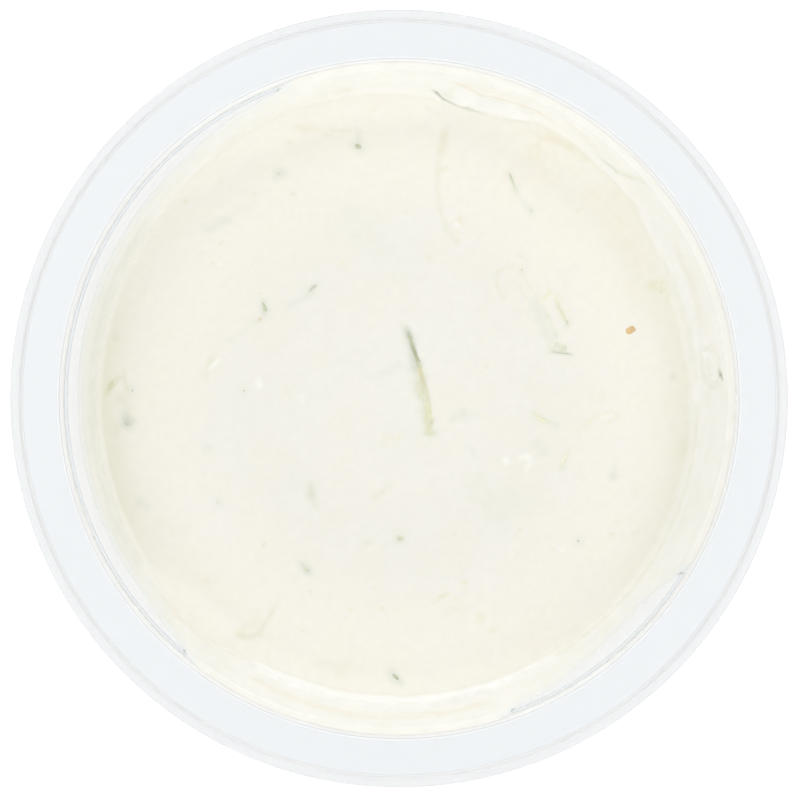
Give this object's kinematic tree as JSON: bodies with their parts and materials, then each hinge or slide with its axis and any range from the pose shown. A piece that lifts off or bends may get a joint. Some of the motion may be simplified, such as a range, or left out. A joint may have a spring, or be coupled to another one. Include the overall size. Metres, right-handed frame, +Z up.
{
  "type": "tzatziki dip",
  "caption": "Tzatziki, a yogurt dip with grated cucumber, in a clear round plastic tub with a flat sealing flange.",
  "frame": {"origin": "on the table, at the middle of the tub's base", "axes": "+Z up along the tub's axis; +Y away from the viewer of the dip, with the cucumber strip lying mostly along Y"},
  "size_m": [0.118, 0.118, 0.042],
  "materials": {
    "clear_plastic": "clear glossy thermoformed plastic",
    "dip": "thick cream-white yogurt dip, softly satin",
    "cucumber": "wet grated cucumber, pale green flesh with dark green skin",
    "herb": "wet dark green chopped herb and cucumber skin",
    "chilli": "dry orange flake"
  },
  "bodies": {
    "root": {"tub": "clear_plastic", "dip": "dip", "cucumber_strip": "cucumber"}
  },
  "joints": []
}
